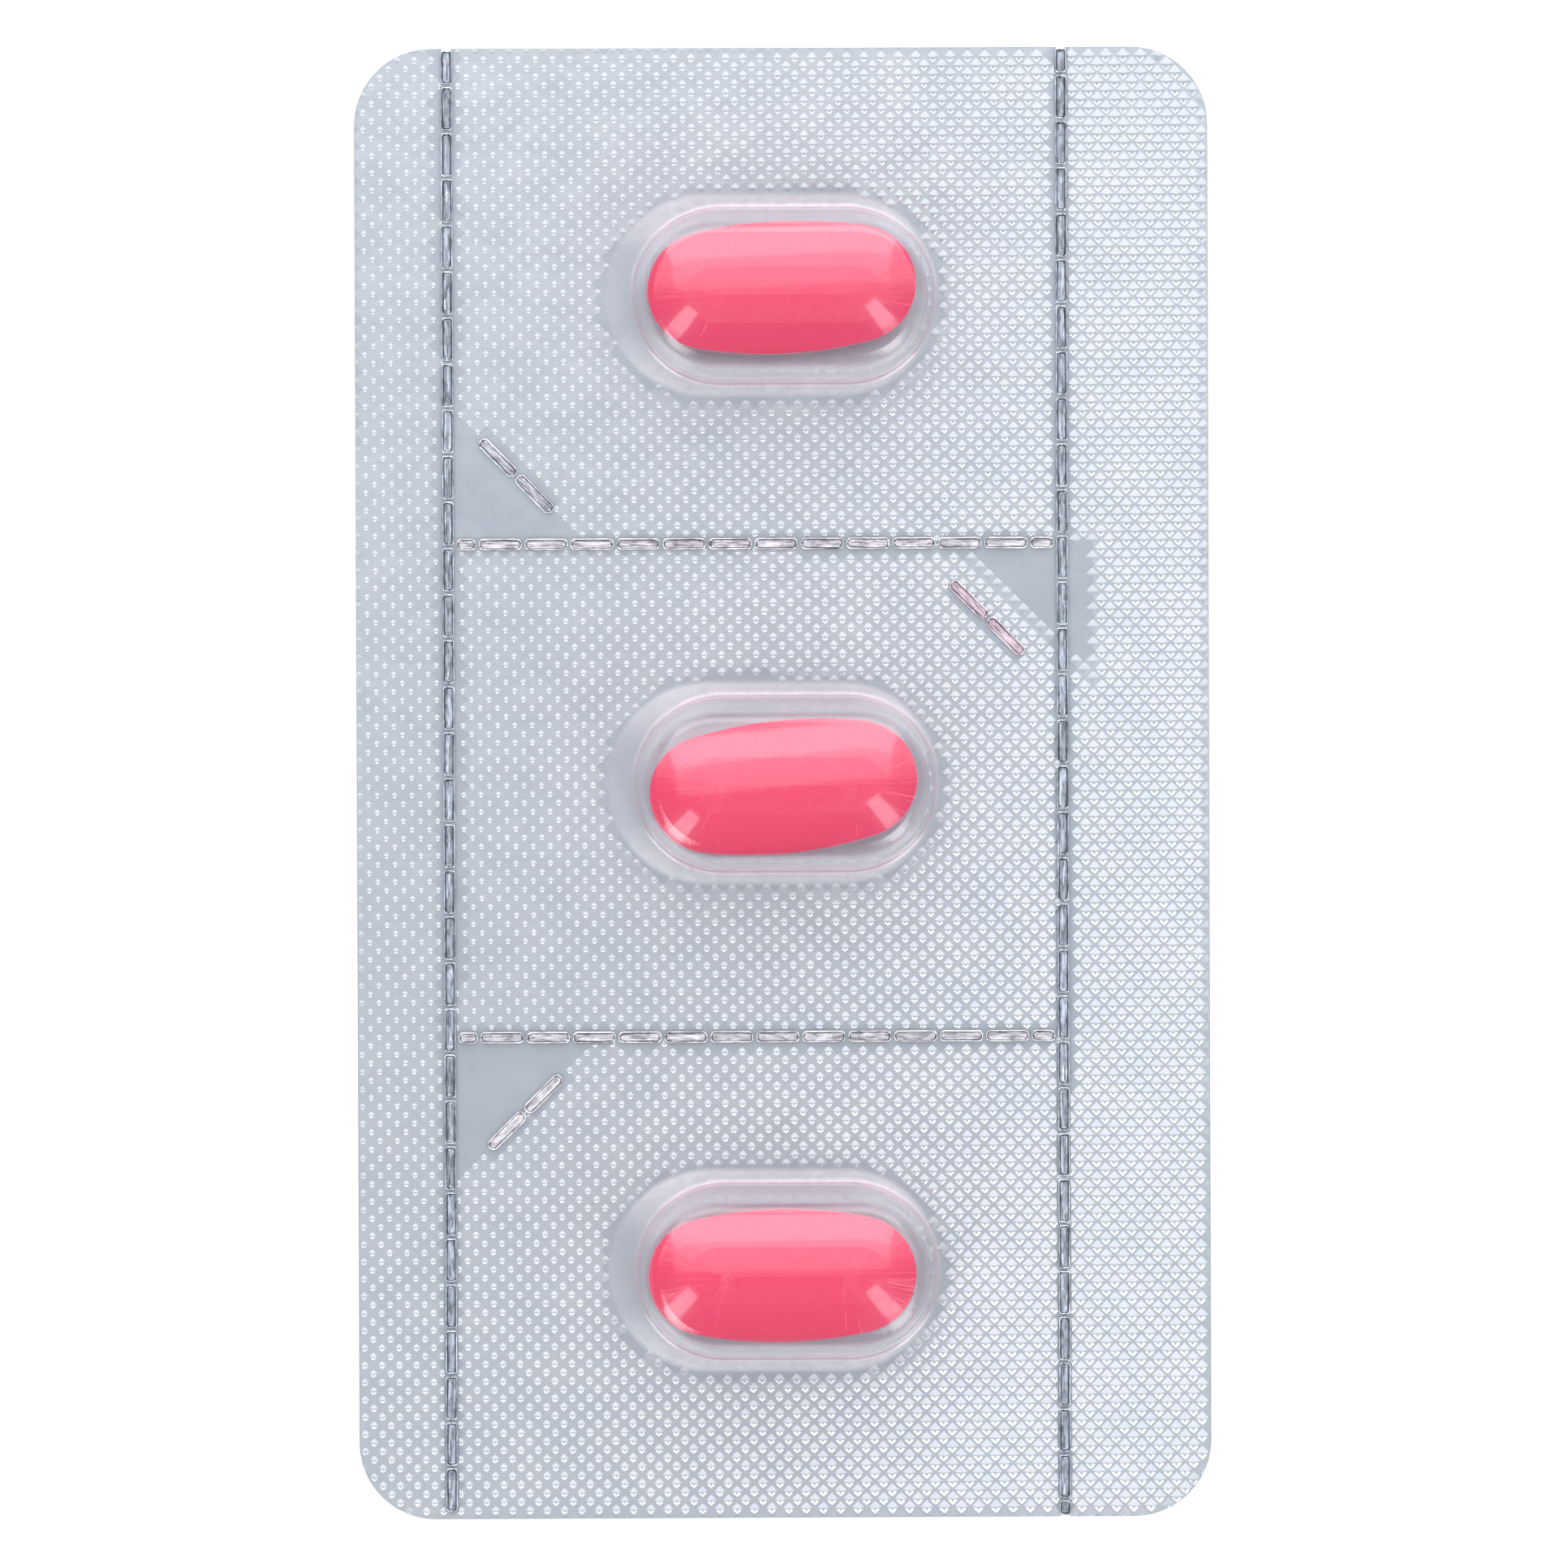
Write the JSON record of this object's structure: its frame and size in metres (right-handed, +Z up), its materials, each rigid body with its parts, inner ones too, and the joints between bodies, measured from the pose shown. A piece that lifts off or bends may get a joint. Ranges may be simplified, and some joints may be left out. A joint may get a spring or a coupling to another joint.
{
  "type": "pill blister pack",
  "caption": "Unit-dose blister card: clear formed film with a column of stadium pockets, film-coated caplets inside, foil lidding and slotted tear lines.",
  "frame": {"origin": "centre of the card's back face, the bottom of the bounding box", "axes": "+Z up through the pockets, +Y along the column of pockets to the card's top end in the picture, +X to the right"},
  "size_m": [0.0542, 0.0936, 0.0069],
  "materials": {
    "clear_film": "clear, glossy thermoformed film",
    "foil": "satin rolled foil, heat-sealed in a fine diamond pattern",
    "coating": "glossy pink film coating"
  },
  "bodies": {
    "root": {"blister_film": "clear_film", "lidding_foil": "foil", "tablet_top": "coating", "tablet_middle": "coating", "tablet_bottom": "coating"}
  },
  "joints": []
}
